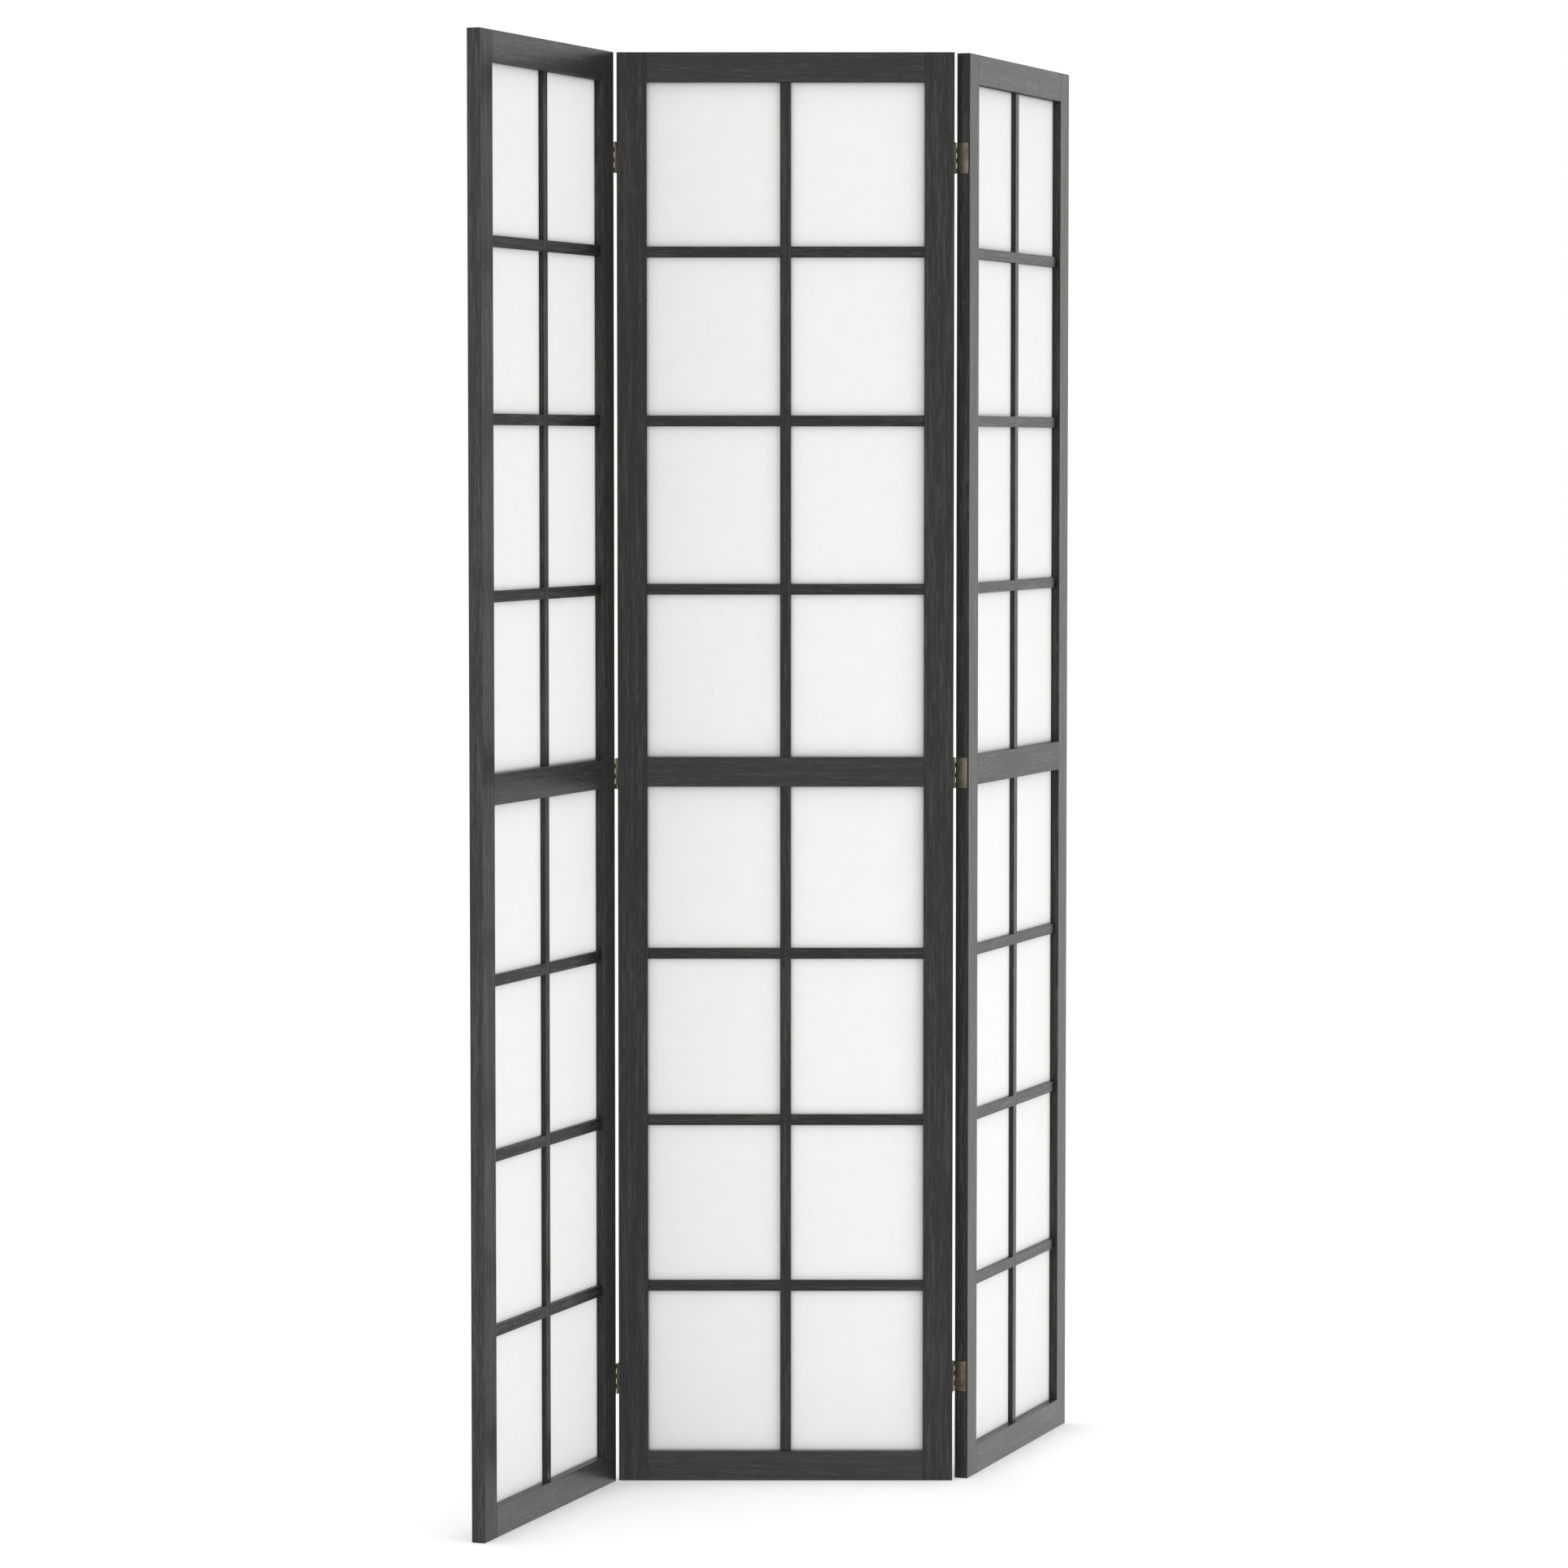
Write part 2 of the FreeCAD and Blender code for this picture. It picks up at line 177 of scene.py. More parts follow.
def blend_of(tree, kind, factor, first, second):
    """A Mix node of kind FLOAT, VECTOR or RGBA."""
    start = {"FLOAT": 2, "VECTOR": 4, "RGBA": 6}[kind]
    out = {"FLOAT": 0, "VECTOR": 1, "RGBA": 2}[kind]
    node = put(tree, "Mix", {"data_type": kind})
    feed(tree, node.inputs[0], factor)
    feed(tree, node.inputs[start], first)
    feed(tree, node.inputs[start + 1], second)
    return node.outputs[out]


def spread(tree, value, low, high, to_low=0.0, to_high=1.0):
    """A value between low and high, spread smoothly between two others and held there beyond."""
    node = put(tree, "MapRange", {"interpolation_type": "SMOOTHSTEP"}, Value=value)
    ends = (("From Min", low), ("From Max", high), ("To Min", to_low), ("To Max", to_high))
    for name, end in ends:
        feed(tree, node.inputs[name], end)
    return node.outputs["Result"]


def clouds(tree, vector, cell, detail=2.0, rough=0.5):
    """Noise over a vector. cell is the size of its cells along each axis, in metres."""
    scale = tuple(1 / size for size in cell)
    place = put(tree, "Mapping", Vector=vector, Scale=scale).outputs[0]
    node = put(tree, "TexNoise", Vector=place, Scale=1.0, Detail=detail, Roughness=rough)
    return node.outputs[0]


# %% Helpers: groups, materials and objects
def new_group(name, inputs, outputs):
    """An empty node group with its named sockets. Gives the tree and its two end nodes."""
    tree = bpy.data.node_groups.new(name, "ShaderNodeTree")
    for socket, kind, value in inputs:
        made = tree.interface.new_socket(socket, in_out="INPUT", socket_type="NodeSocket" + kind)
        if value is not None:
            made.default_value = value
    for socket, kind in outputs:
        tree.interface.new_socket(socket, in_out="OUTPUT", socket_type="NodeSocket" + kind)
    return tree, tree.nodes.new("NodeGroupInput"), tree.nodes.new("NodeGroupOutput")


def use_group(tree, group, **inputs):
    """A node that holds a group, with what goes into it."""
    node = tree.nodes.new("ShaderNodeGroup")
    node.node_tree = group
    for name, value in inputs.items():
        feed(tree, node.inputs[name.replace("_", " ")], value)
    return node


def new_material(name, **constants):
    """A material, its node tree and its Principled shader with some constants set."""
    material = bpy.data.materials.new(name)
    material.use_nodes = True
    tree = material.node_tree
    shader = tree.nodes["Principled BSDF"]
    for socket, value in constants.items():
        shader.inputs[socket.replace("_", " ")].default_value = value
    return material, tree, shader


def add_relief(tree, shader, height, strength, depth):
    """A bump of some depth in metres under the whole shader."""
    bump = put(tree, "Bump", Height=height, Strength=strength, Distance=depth)
    feed(tree, shader.inputs["Normal"], bump.outputs[0])


def panel_coordinates(tree, panel):
    """Object coordinates led back to the panel's straight place at the origin."""
    back = placements[panel].inverted()
    where = put(tree, "TexCoord").outputs["Object"]
    settings = {"Location": back.translation, "Rotation": back.to_euler()}
    return put(tree, "Mapping", Vector=where, **settings).outputs[0]


def laid_down(tree, place):
    """Coordinates with X and Z swapped, so that what ran up runs across."""
    parts = put(tree, "SeparateXYZ", Vector=place).outputs
    return put(tree, "CombineXYZ", X=parts[2], Y=parts[1], Z=parts[0]).outputs[0]


def paint(objects, material):
    """Gives objects one material and nothing else."""
    for thing in objects:
        thing.data.materials.clear()
        thing.data.materials.append(material)


def object_from(name, mesh):
    """A new object in the scene with the shape of a bmesh, which is freed."""
    data = bpy.data.meshes.new(name)
    mesh.to_mesh(data)
    mesh.free()
    made = bpy.data.objects.new(name, data)
    bpy.context.scene.collection.objects.link(made)
    return made


# %% [markdown]
# ## Arrises
#
# An arris is the edge where two faces of a board meet. Stain gathers there and dries darker, and
# here and there it is rubbed thin again. On a welded mesh the Pointiness of the surface finds such
# edges, but CAD parts arrive as loose triangles that have none. The Bevel node works by short rays
# instead: it gives the normal that a rounded edge would have. Where that differs from the true
# normal there is an arris near. Noise picks the few places that are rubbed.

# %% Node group: arrises
BEVEL_SAMPLES = 6
FLAT_TO_ARRIS = (0.995, 0.86)
RUBBED_CELL = (0.012, 0.012, 0.012)
RUBBED_LIMITS = (0.55, 0.68)


def build_arris_group():
    """Edge: 1 on an arris and 0 away from it. Rubbed: the few places of it that are worn."""
    sockets = [("Vector", "Vector", None), ("Width", "Float", 0.001)]
    tree, start, end = new_group("arrises", sockets, [("Edge", "Float"), ("Rubbed", "Float")])
    rounded = put(tree, "Bevel", {"samples": BEVEL_SAMPLES}, Radius=start.outputs["Width"])
    surface = put(tree, "NewGeometry")
    alike = agreement(tree, rounded.outputs[0], surface.outputs["Normal"])
    edge = spread(tree, alike, *FLAT_TO_ARRIS)
    patches = clouds(tree, start.outputs["Vector"], RUBBED_CELL, 4.0, 0.6)
    ragged = spread(tree, patches, *RUBBED_LIMITS)
    feed(tree, end.inputs["Edge"], edge)
    feed(tree, end.inputs["Rubbed"], product(tree, edge, ragged))
    return tree


arrises = build_arris_group()
print("group:", arrises.name)

# %% [markdown]
# ## The grain of stained wood
#
# An open-grained wood under a charcoal stain shows three things along each board: broad bands a
# few millimetres wide, fine streaks within them, and short dark pores where the stain lies
# deepest. A Wave texture would give rings that are too regular. Noise that is stretched along the
# board, at three sizes, gives streaks that start and end as real ones do. A slow sway across the
# board bends them all together.
#
# The group takes a vector whose Z runs along the board, so that one group serves every board.

# %% Node group: grain along Z
SWAY_CELL = (0.05, 0.05, 0.11)
BAND_CELL = (0.0045, 0.0045, 0.14)
STREAK_CELL = (0.0014, 0.0014, 0.024)
PORE_CELL = (0.0006, 0.0006, 0.009)
BAND_SHARE = 0.4
STREAK_LIMITS = (0.46, 0.64)
PORE_LIMITS = (0.60, 0.72)
PORE_DEPTH = 0.8


def build_grain_group():
    """Streaks for colour, pores for colour and depth, and a height for the bump."""
    sockets = [("Vector", "Vector", None), ("Wobble", "Float", 0.0016)]
    results = [("Streaks", "Float"), ("Pores", "Float"), ("Height", "Float")]
    tree, start, end = new_group("stained_grain", sockets, results)
    along = start.outputs["Vector"]
    sway = clouds(tree, along, SWAY_CELL, 2.0, 0.5)
    push = product(tree, calc(tree, "SUBTRACT", sway, 0.5), start.outputs["Wobble"])
    bent = moved(tree, along, put(tree, "CombineXYZ", X=push, Y=push).outputs[0])
    bands = clouds(tree, bent, BAND_CELL, 2.0, 0.5)
    fine = clouds(tree, bent, STREAK_CELL, 3.0, 0.6)
    hairs = clouds(tree, bent, PORE_CELL, 2.0, 0.6)
    streaks = spread(tree, weighed(tree, bands, fine, BAND_SHARE), *STREAK_LIMITS)
    pores = spread(tree, hairs, *PORE_LIMITS)
    height = calc(tree, "SUBTRACT", streaks, product(tree, pores, PORE_DEPTH))
    feed(tree, end.inputs["Streaks"], streaks)
    feed(tree, end.inputs["Pores"], pores)
    feed(tree, end.inputs["Height"], height)
    return tree


grain = build_grain_group()
print("group:", grain.name)

# %% [markdown]
# ## Charcoal-stained frame and lattice
#
# Every board is cut from its own length of wood, so no two show the same grain. Each node of the
# frame gets a material of its own that starts in another place of the noise and is stained a touch
# lighter or darker, and a few boards are painted lighter or darker as painted light, shade and
# reflection. On stiles the grain runs upwards and on rails across. A lattice node holds both:
# within half a stick of the panel's middle it is the upright, and the rest are crossbars, each
# with grain of its own.

# %% Which way the grain runs
STICK_HALF_WIDTH = 0.007
CROSSBAR_SPACING = 0.2
# How far apart two crossbars, or two boards, start in the noise
CROSSBAR_STEP = 0.731
BOARD_STEP = (0.37, 0.53, 1.13)


def grain_of(node_name):
    """Which way the grain runs in a wooden node, or None if it isn't stained wood."""
    for ending, runs in (("stile", "up"), ("rail", "across"), ("lattice", "lattice")):
        if node_name.endswith(ending):
            return runs
    return None


def along_sticks(tree, place):
    """Coordinates whose Z runs along every stick of a lattice."""
    parts = put(tree, "SeparateXYZ", Vector=place).outputs
    off_middle = calc(tree, "ABSOLUTE", parts[0])
    is_bar = calc(tree, "GREATER_THAN", off_middle, STICK_HALF_WIDTH)
    bar = calc(tree, "FLOOR", calc(tree, "DIVIDE", parts[2], CROSSBAR_SPACING))
    own = product(tree, bar, CROSSBAR_STEP)
    offset = put(tree, "CombineXYZ", X=own, Z=own).outputs[0]
    bars = moved(tree, laid_down(tree, place), offset)
    return blend_of(tree, "VECTOR", is_bar, place, bars)


def board_coordinates(tree, place, grain_runs, number):
    """Coordinates whose Z runs along the board, and that start elsewhere for each number."""
    if grain_runs == "up":
        along = place
    elif grain_runs == "across":
        along = laid_down(tree, place)
    else:
        along = along_sticks(tree, place)
    start = Vector([step * number for step in BOARD_STEP])
    return moved(tree, along, start)


wooden = [name for name in sorted(frame["nodes"]) if grain_of(name)]
print(len(wooden), "wooden parts")

# %% [markdown]
# Panels are sprayed lying flat. The broad faces take the lacquer, and the narrow ones, which stand
# upright then, take little. They are duller, and show the wood's own grey brown. The tops of
# rails and crossbars are gone over again once the screen stands, so they take more. Which faces
# are broad is read from the normal: it lies along the panel's thickness there. It also tells which
# faces look up.

# %% Which faces are broad and which look up
FACE_LIMITS = (0.6, 0.85)


def broad_faces(tree, panel):
    """1 on the faces along the panel's front and back, 0 on the narrow ones."""
    thickness = placements[panel].to_3x3() @ Vector((0, 1, 0))
    normal = put(tree, "TexCoord").outputs["Normal"]
    facing = calc(tree, "ABSOLUTE", agreement(tree, normal, thickness))
    return spread(tree, facing, *FACE_LIMITS)


def upward_faces(tree):
    """1 on the faces that look up, 0 on the upright and downward ones."""
    normal = put(tree, "TexCoord").outputs["Normal"]
    return spread(tree, put(tree, "SeparateXYZ", Vector=normal).outputs[2], *FACE_LIMITS)


# %% [markdown]
# The colour is built up as on the bench: stain in pale and dark streaks, black pores, dark arrises
# and last the few places that are rubbed. On a few boards the stain is also painted paler or
# darker, as painted light, shade and reflection.

# %% Colour of stained wood
STAIN_DARK = (0.0032, 0.0031, 0.0013, 1)
STAIN_LIGHT = (0.0265, 0.0259, 0.0190, 1)
NARROW_DARK = (0.0280, 0.0280, 0.0247, 1)
NARROW_LIGHT = (0.0600, 0.0600, 0.0545, 1)
PORE_COLOUR = (0.0010, 0.0010, 0.0008, 1)
ARRIS_COLOUR = (0.0012, 0.0012, 0.0010, 1)
RUBBED_COLOUR = (0.060, 0.057, 0.050, 1)
PORE_STRENGTH = 0.7
ARRIS_STRENGTH = 0.8
RUBBED_STRENGTH = 0.5
# Added to each part of a colour where a board's paleness is 1. The light streaks of the broad
# faces get less.
PALER = 0.016
PALER_LIGHT_STREAKS = 0.006


def shifted(colour, amount):
    """A colour made paler by an amount in all three parts."""
    return tuple(part + amount for part in colour[:3]) + (1,)


def stain_colour(tree, wood, edges, broad, broad_tone_and_painted_reflection, narrow_painted_light_and_shade):
    """Stain, pores and arrises. The last two say how much paler this board's faces are painted,
    for its own tone and for painted light, shade and reflection.
    """
    streaks = wood["Streaks"]
    # The broad faces are paler or darker by the board's own tone, and on the bottom rails by a
    # painted reflection of the floor.
    dark = shifted(STAIN_DARK, PALER * broad_tone_and_painted_reflection)
    light = shifted(STAIN_LIGHT, PALER_LIGHT_STREAKS * broad_tone_and_painted_reflection)
    broad_colour = blend_of(tree, "RGBA", streaks, dark, light)
    # The narrow faces are painted darker as painted shade on the tops of the side panels' middle
    # and bottom rails, and paler as painted light on the left panel's outer edge.
    dark = shifted(NARROW_DARK, PALER * narrow_painted_light_and_shade)
    light = shifted(NARROW_LIGHT, PALER * narrow_painted_light_and_shade)
    narrow_colour = blend_of(tree, "RGBA", streaks, dark, light)
    colour = blend_of(tree, "RGBA", broad, narrow_colour, broad_colour)
    layers = (
        (wood["Pores"], PORE_STRENGTH, PORE_COLOUR),
        (edges["Edge"], ARRIS_STRENGTH, ARRIS_COLOUR),
        (edges["Rubbed"], RUBBED_STRENGTH, RUBBED_COLOUR),
    )
    for mask, strength, layer in layers:
        colour = blend_of(tree, "RGBA", product(tree, mask, strength), colour, layer)
    return colour


# %% [markdown]
# The satin lacquer is the shader's coat. Seen straight on it hardly shows, and seen at a low angle
# it turns the dark wood to mid-grey, as on the right panel. It sinks into open pores and is thin
# on the arrises, so the coat's weight is less there, and they stay dark from every side.

# %% Lacquer
WOOD_IOR = 1.17
LACQUER_IOR = 1.46
LACQUER_ROUGHNESS = 0.26
# The share of the lacquer that is left in each place
DARK_STREAK_LACQUER = 0.93
PORE_LACQUER = 0.7
ARRIS_LACQUER = 0.6
NARROW_LACQUER = 0.15
UPWARD_LACQUER = 0.7


def lacquer_weight(tree, wood, edges, broad, lacquered):
    """The weight of the coat. lacquered is this board's own share of it."""
    thick = (DARK_STREAK_LACQUER * lacquered, lacquered)
    sunk = spread(tree, wood["Streaks"], 0.0, 1.0, *thick)
    open_pores = spread(tree, wood["Pores"], 0.0, 1.0, 1.0, PORE_LACQUER)
    thin_edge = spread(tree, edges["Edge"], 0.0, 1.0, 1.0, ARRIS_LACQUER)
    narrow = spread(tree, upward_faces(tree), 0.0, 1.0, NARROW_LACQUER, UPWARD_LACQUER)
    share = blend_of(tree, "FLOAT", broad, narrow, 1.0)
    return product(tree, sunk, open_pores, thin_edge, share)


# %% Stained wood for one node
ARRIS_WIDTH = 0.0011
NARROW_ROUGHNESS = 0.85
DARK_STREAK_ROUGHNESS = 0.60
LIGHT_STREAK_ROUGHNESS = 0.45
GRAIN_STRENGTH = 0.35
GRAIN_DEPTH = 0.00012
# Most boards are finished alike, and their paleness only swings a little from one to the next. The
# others are listed one by one. The bottom rails are painted paler, a painted reflection of the
# bright floor in their lacquer. The narrow faces of the side panels' middle and bottom rails are
# painted darker, painted shade on their tops where they meet the windows, and the outer edge of
# the left panel is painted paler as painted light from the key lamp's side. Each row is how much
# paler the broad faces are, their share of the lacquer, and how much paler the narrow faces are.
PALE_SWING = 0.1
PALE_SWING_STEP = 2.4
LATTICE_FINISH = (0.05, 0.88, 0.0)
BOARD_TONE_AND_PAINTED_LIGHT = {
    "centre_panel_left_stile": (-0.15, 1.0, 0.0),
    "centre_panel_bottom_rail": (0.7, 1.0, 0.0),
    "centre_panel_middle_rail": (0.5, 1.0, 0.0),
    "centre_panel_top_rail": (0.45, 1.0, 0.0),
    "left_panel_bottom_rail": (1.0, 1.0, -0.6),
    "left_panel_hinge_stile": (0.7, 1.0, 0.0),
    "left_panel_lower_front_lattice": (0.0, 0.60, 0.0),
    "left_panel_middle_rail": (0.6, 1.0, -0.6),
    "left_panel_outer_stile": (0.2, 0.72, 0.9),
    "left_panel_top_rail": (0.6, 1.0, 0.0),
    "left_panel_upper_front_lattice": (0.0, 0.60, 0.0),
    "right_panel_bottom_rail": (0.7, 1.0, -0.6),
    "right_panel_middle_rail": (-0.15, 0.9, -0.6),
    "right_panel_top_rail": (0.4, 1.0, 0.0),
}


def tone_and_painted_light_of(node_name, grain_runs, number):
    """The row of a board in BOARD_TONE_AND_PAINTED_LIGHT, or the usual one."""
    usual = (PALE_SWING * math.sin(PALE_SWING_STEP * number), 1.0, 0.0)
    if grain_runs == "lattice":
        usual = LATTICE_FINISH
    return BOARD_TONE_AND_PAINTED_LIGHT.get(node_name, usual)


def stained_wood(node_name, panel, grain_runs, number):
    """The material of one wooden node. grain_runs is up, across or lattice."""
    settings = {"IOR": WOOD_IOR, "Coat IOR": LACQUER_IOR, "Coat Roughness": LACQUER_ROUGHNESS}
    material, tree, shader = new_material("stained_wood_" + node_name, **settings)
    place = panel_coordinates(tree, panel)
    board = board_coordinates(tree, place, grain_runs, number)
    wood = use_group(tree, grain, Vector=board).outputs
    edges = use_group(tree, arrises, Vector=place, Width=ARRIS_WIDTH).outputs
    broad = broad_faces(tree, panel)
    # The board's own tone, and on some boards painted light, shade and reflection.
    broad_tone_and_painted_reflection, lacquered, narrow_painted_light_and_shade = tone_and_painted_light_of(node_name, grain_runs, number)
    colour = stain_colour(tree, wood, edges, broad, broad_tone_and_painted_reflection, narrow_painted_light_and_shade)
    feed(tree, shader.inputs["Base Color"], colour)
    satin = (DARK_STREAK_ROUGHNESS, LIGHT_STREAK_ROUGHNESS)
    broad_rough = spread(tree, wood["Streaks"], 0.0, 1.0, *satin)
    rough = blend_of(tree, "FLOAT", broad, NARROW_ROUGHNESS, broad_rough)
    feed(tree, shader.inputs["Roughness"], rough)
    lacquer = lacquer_weight(tree, wood, edges, broad, lacquered)
    feed(tree, shader.inputs["Coat Weight"], lacquer)
    add_relief(tree, shader, wood["Height"], GRAIN_STRENGTH, GRAIN_DEPTH)
    return material


for number, name in enumerate(wooden, start=1):
    finish = stained_wood(name, name.split("_")[0], grain_of(name), number)
    paint([frame["nodes"][name]], finish)
print(len(wooden), "materials, each with grain of its own")

# %% [markdown]
# ## Dowels
#
# The dowels sit inside the joints between rails and stiles and are never stained. Pale hardwood
# needs only a soft grain along the pin, which lies across the panel.

# %% Bare hardwood for the dowels
BARE_DARK = (0.50, 0.36, 0.21, 1)
BARE_LIGHT = (0.64, 0.49, 0.32, 1)
BARE_WOBBLE = 0.002
BARE_STRENGTH = 0.3
BARE_DEPTH = 0.0001


def bare_hardwood(panel):
    """Pale unfinished wood with its grain across the panel."""
    material, tree, shader = new_material("bare_hardwood_" + panel, IOR=1.45)
    along = laid_down(tree, panel_coordinates(tree, panel))
    wood = use_group(tree, grain, Vector=along, Wobble=BARE_WOBBLE).outputs
    colour = blend_of(tree, "RGBA", wood["Streaks"], BARE_DARK, BARE_LIGHT)
    feed(tree, shader.inputs["Base Color"], colour)
    feed(tree, shader.inputs["Roughness"], spread(tree, wood["Pores"], 0.0, 1.0, 0.6, 0.8))
    add_relief(tree, shader, wood["Height"], BARE_STRENGTH, BARE_DEPTH)
    return material


for panel in PANELS:
    paint([frame["nodes"][panel + "_panel_dowels"]], bare_hardwood(panel))
print(len(PANELS), "sets of dowels in bare hardwood")

# %% [markdown]
# ## Antiqued brass
#
# The hinges are brass that was darkened in a bath and rubbed back: brownish-olive in the flats,
# a little brighter along the edges that a thumb meets. Metal has no colour of its own under the
# gloss, so the colour goes in as the tint of its reflection. Two sizes of cloud make the uneven
# bath, and the same clouds make dull spots rougher.

# %% Antiqued brass
BRASS = (0.185, 0.164, 0.124, 1)
BRASS_DARK = (0.115, 0.101, 0.074, 1)
BRASS_RUBBED = (0.38, 0.32, 0.21, 1)
BATH_CELL = (0.014, 0.014, 0.022)
SPOT_CELL = (0.0012, 0.0012, 0.0016)
BATH_SHARE = 0.8
# Where the clouds turn from rubbed back to dark, and how far darkening moves that
BATH_LIMITS = (0.62, 0.40)
BATH_SHIFT = (0.2, 0.1)
THUMBED_WIDTH = 0.0004
SPOT_STRENGTH = 0.25
SPOT_DEPTH = 0.00005
# How much of the dark bath is left on the parts whose names end so
BATH_LEFT = {"leaf": 0.2, "pin": 0.35, "screws": 0.4}


def antiqued_brass(name, darken):
    """Darkened brass. darken is how much of the dark bath is left, from 0 to 1."""
    material, tree, shader = new_material(name, Metallic=1.0)
    place = put(tree, "TexCoord").outputs["Object"]
    uneven = clouds(tree, place, BATH_CELL, 2.0, 0.5)
    spots = clouds(tree, place, SPOT_CELL, 3.0, 0.6)
    both = weighed(tree, uneven, spots, BATH_SHARE)
    limits = [limit - shift * darken for limit, shift in zip(BATH_LIMITS, BATH_SHIFT)]
    bath = spread(tree, both, *limits)
    worn = use_group(tree, arrises, Vector=place, Width=THUMBED_WIDTH).outputs["Rubbed"]
    colour = blend_of(tree, "RGBA", bath, BRASS_DARK, BRASS)
    rubbed = blend_of(tree, "RGBA", worn, colour, BRASS_RUBBED)
    feed(tree, shader.inputs["Base Color"], rubbed)
    feed(tree, shader.inputs["Roughness"], spread(tree, both, 0.35, 0.65, 0.34, 0.52))
    add_relief(tree, shader, spots, SPOT_STRENGTH, SPOT_DEPTH)
    return material


for ending, darken in BATH_LEFT.items():
    members = [part for name, part in frame["nodes"].items() if name.endswith(ending)]
    paint(members, antiqued_brass("antiqued_brass_" + ending, darken))
    print(len(members), "nodes of", ending)

# %% [markdown]
# ## Paper
#
# Screen paper is white, matt and a little translucent, with long fibres that show when light is
# behind it. It could be a thin slab, but paper that was glued damp and has dried tight is never
# quite flat: each pane swells by a fraction of a millimetre between its sticks. So each sheet
# starts as a fine grid. A smooth noise moves its points, by nothing at the sticks and most in the
# middle of a pane, and then the grid is given the thickness of the paper.

# %% Shape of a sheet
COCKLE = 0.0006
COCKLES_PER_METRE = 9
SEED_STEP = 3.7
SHEET_COLUMNS = 52
SHEET_ROWS = 124
STICK_GRIP = 0.0075
CROSSBARS = 3
PAPER_TUCK = 0.0035
WINDOWS = ("lower", "upper")


def clamp_lines(window):
    """The places across and up a window where sticks or the frame hold the paper."""
    low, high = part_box(f"centre_panel_{window}_paper")
    bottom, top = low.z + PAPER_TUCK, high.z - PAPER_TUCK
    pane = (top - bottom) / (CROSSBARS + 1)
    heights = [bottom + pane * count for count in range(CROSSBARS + 2)]
    return (low.x + PAPER_TUCK, 0.0, high.x - PAPER_TUCK), heights


def freedom(value, lines):
    """0 where the paper is held and 1 midway between two holding lines."""
    for first, second in zip(lines, lines[1:]):
        start, stop = first + STICK_GRIP, second - STICK_GRIP
        if start < value < stop:
            return math.sin(math.pi * (value - start) / (stop - start))
    return 0.0


def make_sheet(panel, window, seed):
    """One sheet of paper, cockled and as thick as its solid, in its place at rest."""
    low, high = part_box(f"centre_panel_{window}_paper")
    across, up = clamp_lines(window)
    size, middle = high - low, (low + high) / 2
    mesh = bmesh.new()
    bmesh.ops.create_grid(mesh, x_segments=SHEET_COLUMNS, y_segments=SHEET_ROWS, size=0.5)
    bmesh.ops.scale(mesh, vec=(size.x, size.z, 1), verts=mesh.verts)
    upright = Matrix.Rotation(math.radians(90), 3, "X")
    bmesh.ops.rotate(mesh, matrix=upright, verts=mesh.verts)
    bmesh.ops.translate(mesh, vec=middle, verts=mesh.verts)
    for point in mesh.verts:
        free = freedom(point.co.x, across) * freedom(point.co.z, up)
        field = (point.co.x * COCKLES_PER_METRE, seed * SEED_STEP, point.co.z * COCKLES_PER_METRE)
        point.co.y += COCKLE * free * noise.noise(Vector(field))
    thickness = size.y
    bmesh.ops.translate(mesh, vec=(0, thickness / 2, 0), verts=mesh.verts)
    bmesh.ops.solidify(mesh, geom=mesh.faces, thickness=thickness)
    bmesh.ops.recalc_face_normals(mesh, faces=mesh.faces)
    bmesh.ops.transform(mesh, matrix=placements[panel], verts=mesh.verts)
    sheet = object_from(f"{panel}_panel_{window}_sheet", mesh)
    sheet.data.shade_smooth()
    return sheet, (size.x, size.z)


# %% [markdown]
# The fibres are the contour lines of a noise: where it passes its middle value it draws long thin
# curls. A second noise cuts them into lengths. Light comes through as well as back, so the shader
# is a mix of a matt surface and a Translucent one.

# %% Paper with fibres
PAPER_WHITE = (0.945, 0.945, 0.935, 1)
FIBRE_WHITE = (0.87, 0.87, 0.85, 1)
THROUGH_SHARE = 0.20
STEEP_FIBRES = (0.012, 0.012, 0.035)
FLAT_FIBRES = (0.009, 0.009, 0.028)
FIBRE_SLANT = (0.0, 0.9, 0.0)
FIBRE_WIDTH = 0.008
FIBRE_STRENGTH = 0.5
CUT_CELL = (0.02, 0.02, 0.02)
CUT_LIMITS = (0.46, 0.60)
PULP_CELL = (0.03, 0.03, 0.03)
MOTTLE = 0.16
TOOTH_CELL = (0.0012, 0.0012, 0.0012)
TOOTH_SHARE = 0.4
TOOTH_STRENGTH = 0.25
TOOTH_DEPTH = 0.00006


def fibre_layer(tree, place, cell):
    """Long thin curls, 1 on a fibre."""
    field = clouds(tree, place, cell, 1.5, 0.5)
    ridge = calc(tree, "ABSOLUTE", calc(tree, "SUBTRACT", field, 0.5))
    line = spread(tree, ridge, FIBRE_WIDTH, 0.0)
    lengths = clouds(tree, place, CUT_CELL, 1.0, 0.5)
    return product(tree, line, spread(tree, lengths, *CUT_LIMITS))


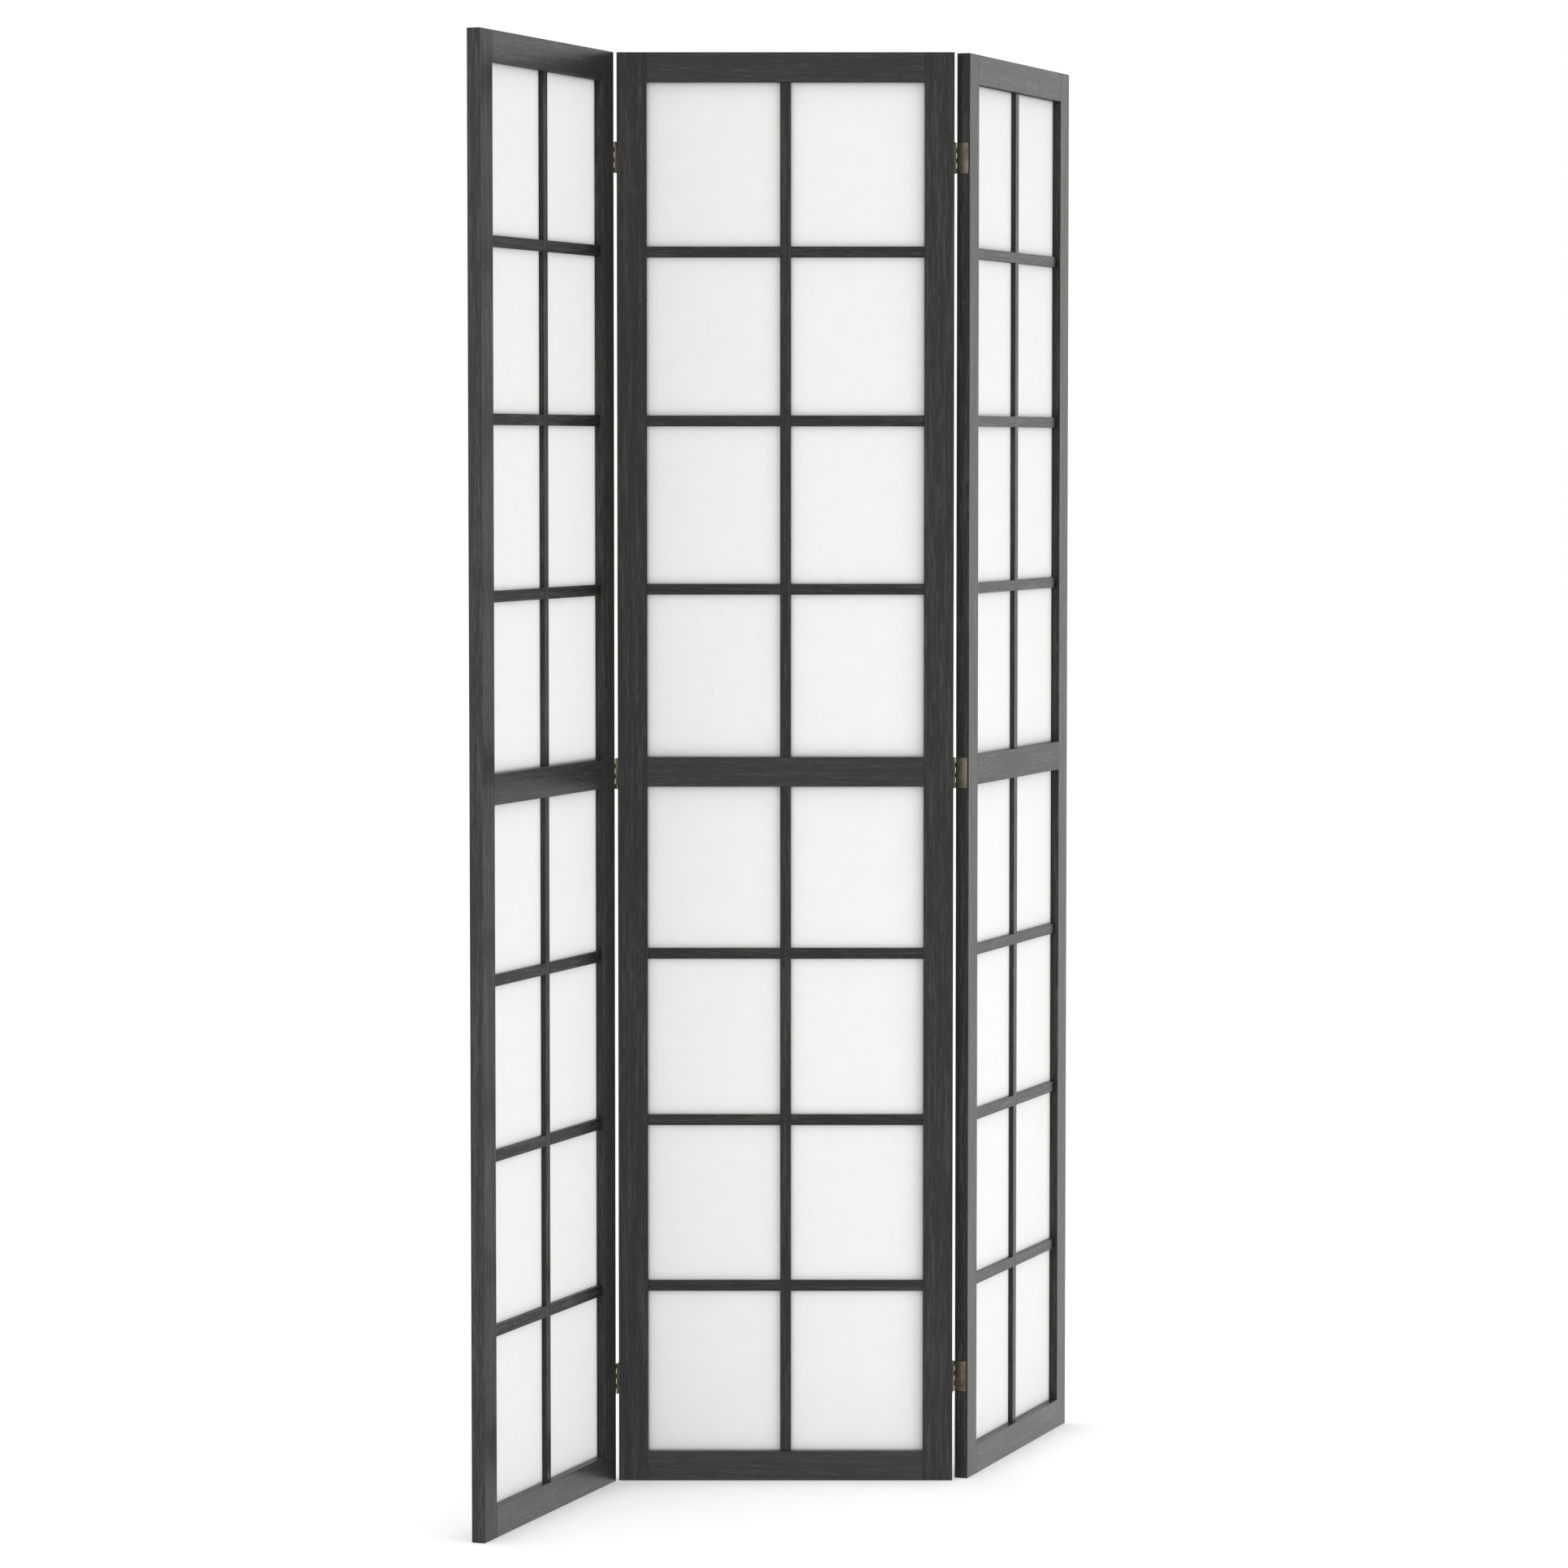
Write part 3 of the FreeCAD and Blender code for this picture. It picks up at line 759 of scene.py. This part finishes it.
def screen_paper(panel):
    """Matt white paper that lets some light through."""
    material, tree, shader = new_material("screen_paper_" + panel, IOR=1.35)
    place = panel_coordinates(tree, panel)
    slant = put(tree, "Mapping", Vector=place, Rotation=FIBRE_SLANT).outputs[0]
    steep = fibre_layer(tree, place, STEEP_FIBRES)
    flat = fibre_layer(tree, slant, FLAT_FIBRES)
    fibres = calc(tree, "MAXIMUM", steep, flat)
    pulp = clouds(tree, place, PULP_CELL, 4.0, 0.6)
    mottle = spread(tree, pulp, 0.3, 0.7, 0.0, MOTTLE)
    mottled = blend_of(tree, "RGBA", mottle, PAPER_WHITE, FIBRE_WHITE)
    shown = product(tree, fibres, FIBRE_STRENGTH)
    colour = blend_of(tree, "RGBA", shown, mottled, FIBRE_WHITE)
    feed(tree, shader.inputs["Base Color"], colour)
    feed(tree, shader.inputs["Roughness"], spread(tree, fibres, 0.0, 1.0, 0.88, 0.70))
    tooth = clouds(tree, place, TOOTH_CELL, 3.0, 0.6)
    height = calc(tree, "ADD", product(tree, tooth, TOOTH_SHARE), fibres)
    add_relief(tree, shader, height, TOOTH_STRENGTH, TOOTH_DEPTH)
    through = put(tree, "BsdfTranslucent", Color=colour)
    both = put(tree, "MixShader", Fac=THROUGH_SHARE)
    tree.links.new(shader.outputs[0], both.inputs[1])
    tree.links.new(through.outputs[0], both.inputs[2])
    tree.links.new(both.outputs[0], tree.nodes["Material Output"].inputs["Surface"])
    return material


# %% Make the six sheets
for seed, panel in enumerate(PANELS, start=1):
    finish = screen_paper(panel)
    prefix = panel + "_panel_"
    held_by = [name for name in sorted(frame["nodes"]) if name.startswith(prefix)]
    held_by = [name for name in held_by if name.endswith(("stile", "rail"))]
    for window in WINDOWS:
        sheet, flat_size = make_sheet(panel, window, seed + 0.5 * (window == "upper"))
        paint([sheet], finish)
        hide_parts(prefix + window + "_paper")
        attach(sheet, panel + "_panel")
        print(sheet.name, "is cut", [round(side, 4) for side in flat_size], "m")

# %% [markdown]
# ## The floor
#
# A plain pale floor catches the screen's soft shadow and hides where it ends. It is lit like
# anything else. Camera rays see it a touch brighter, so that away from the shadow it is as white
# as the background. Reflections see it mostly as plain white, so that the lacquer of the bottom
# rails mirrors the white room and only a little of the shadow at their foot.

# %% Pale floor
FLOOR_SIZE = 80.0
FLOOR_DROP = 0.0001
FLOOR_DULL = (0.965, 0.965, 0.965, 1)
FLOOR_PALE = (0.985, 0.985, 0.985, 1)
DUST_CELL = (0.4, 0.4, 0.4)
FLOOR_LIFT = 0.14
MIRRORED_WHITE = 0.7
BLACK = (0, 0, 0, 1)
WHITE = (1, 1, 1, 1)

mesh = bmesh.new()
bmesh.ops.create_grid(mesh, x_segments=4, y_segments=4, size=FLOOR_SIZE / 2)
bmesh.ops.translate(mesh, vec=(0, 0, -FLOOR_DROP), verts=mesh.verts)
floor = object_from("floor", mesh)

floor_finish, tree, shader = new_material("pale_floor", Roughness=0.9, Specular_IOR_Level=0.0)
dust = clouds(tree, put(tree, "TexCoord").outputs["Object"], DUST_CELL, 3.0, 0.5)
pale = blend_of(tree, "RGBA", dust, FLOOR_DULL, FLOOR_PALE)
rays = put(tree, "LightPath").outputs
mirrored = product(tree, rays["Is Glossy Ray"], MIRRORED_WHITE)
feed(tree, shader.inputs["Base Color"], blend_of(tree, "RGBA", mirrored, pale, BLACK))
seen = calc(tree, "MAXIMUM", rays["Is Camera Ray"], rays["Is Transmission Ray"])
shader.inputs["Emission Color"].default_value = WHITE
lift = calc(tree, "ADD", product(tree, seen, FLOOR_LIFT), mirrored)
feed(tree, shader.inputs["Emission Strength"], lift)
paint([floor], floor_finish)
print("floor of", FLOOR_SIZE, "m")

# %% [markdown]
# ## Light
#
# The light is that of a white studio: an even white surround, so that a colour renders about as
# it is written. Two large soft lamps stand in it. The key lamp, on the left in front, gives
# the boards a lit and an unlit side. The fill lamp, low on the right, makes up for the light that
# the panels keep from each other and from the floor between them. Hard lamps would print the
# lattice on the floor.

# %% White surround and two soft lamps
SURROUND_LEVEL = 1.0
KEY_LAMP = {"place": (-2.5, -4.1, 1.9), "aim": (0, 0, 0.9), "size": 3.0, "watts": 15.0}
FILL_LAMP = {"place": (1.5, -0.95, 0.2), "aim": (0, 0, 0.25), "size": 1.4, "watts": 8.5}

world = bpy.data.worlds.new("white_studio")
world.use_nodes = True
bpy.context.scene.world = world
surround = world.node_tree.nodes["Background"]
surround.inputs["Color"].default_value = WHITE
surround.inputs["Strength"].default_value = SURROUND_LEVEL


def soft_lamp(name, place, aim, size, watts):
    """A large square lamp that the camera doesn't see."""
    data = bpy.data.lights.new(name, "AREA")
    data.shape = "SQUARE"
    data.size = size
    data.energy = watts
    lamp = bpy.data.objects.new(name, data)
    lamp.location = place
    lamp.rotation_euler = (Vector(aim) - Vector(place)).to_track_quat("-Z", "Y").to_euler()
    lamp.visible_camera = False
    bpy.context.scene.collection.objects.link(lamp)


soft_lamp("key_lamp", **KEY_LAMP)
soft_lamp("fill_lamp", **FILL_LAMP)
bpy.context.scene.view_settings.view_transform = "Standard"
print("lamps of", KEY_LAMP["watts"], "and", FILL_LAMP["watts"], "W")
